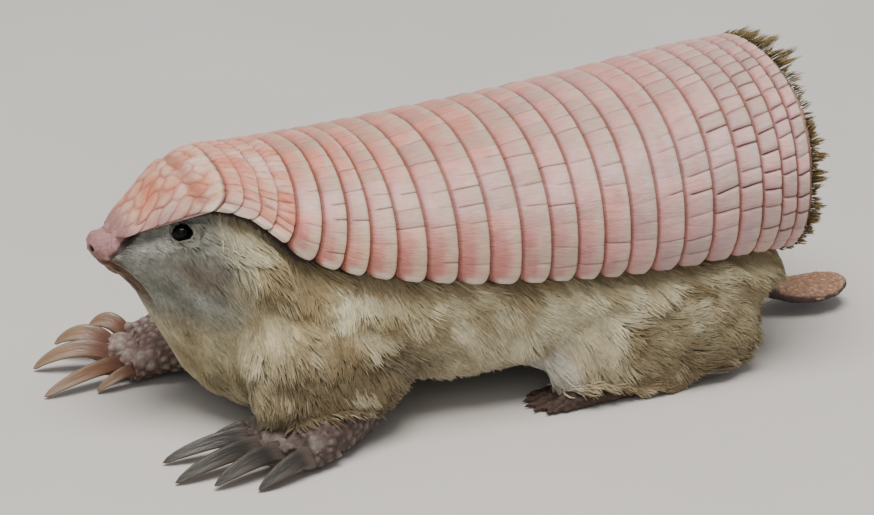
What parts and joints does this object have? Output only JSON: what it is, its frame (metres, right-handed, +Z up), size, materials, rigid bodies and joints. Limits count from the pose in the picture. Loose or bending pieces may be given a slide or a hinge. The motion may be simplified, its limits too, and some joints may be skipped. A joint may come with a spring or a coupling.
{
  "type": "pink fairy armadillo model",
  "caption": "Life-size still model of a pink fairy armadillo standing on all fours, with a banded pink shell over a cream coat.",
  "frame": {"origin": "on the floor, under the middle of the box round the standing animal", "axes": "+Z up, -Y the way the animal faces, +X its left side"},
  "size_m": [0.062, 0.1291, 0.0459],
  "materials": {
    "scutes": "satin, pink horny scutes with pale rear edges and fine dark cracks",
    "coat": "silky cream fur in soft clumps, olive in the shade of the shell",
    "skin": "bare pinkish skin with small tubercles",
    "claw": "satin horn with fine ridges along it",
    "eye": "wet gloss",
    "bristle": "stiff olive-brown hairs"
  },
  "bodies": {
    "root": {"band_01": "scutes", "band_02": "scutes", "band_03": "scutes", "band_04": "scutes", "band_05": "scutes", "band_06": "scutes", "band_07": "scutes", "band_08": "scutes", "band_09": "scutes", "band_10": "scutes", "band_11": "scutes", "band_12": "scutes", "band_13": "scutes", "band_14": "scutes", "band_15": "scutes", "band_16": "scutes", "band_17": "scutes", "band_18": "scutes", "band_19": "scutes", "band_20": "scutes", "claw_left_1": "claw", "claw_left_2": "claw", "claw_left_3": "claw", "claw_left_4": "claw", "claw_left_5": "claw", "claw_right_1": "claw", "claw_right_2": "claw", "claw_right_3": "claw", "claw_right_4": "claw", "claw_right_5": "claw", "ear_left": "skin", "ear_right": "skin", "eye_left": "eye", "eye_right": "eye", "forefoot_left": "skin", "forefoot_right": "skin", "foreleg_left": "coat", "foreleg_right": "coat", "head": "coat", "head_shield": "scutes", "hindfoot_left": "skin", "hindfoot_right": "skin", "hindleg_left": "coat", "hindleg_right": "coat", "neck": "coat", "nuchal_row_1": "scutes", "nuchal_row_2": "scutes", "nuchal_row_3": "scutes", "nuchal_row_4": "scutes", "rump_fringe": "bristle", "rump_plate": "scutes", "tail": "skin", "trunk": "coat"}
  },
  "joints": []
}
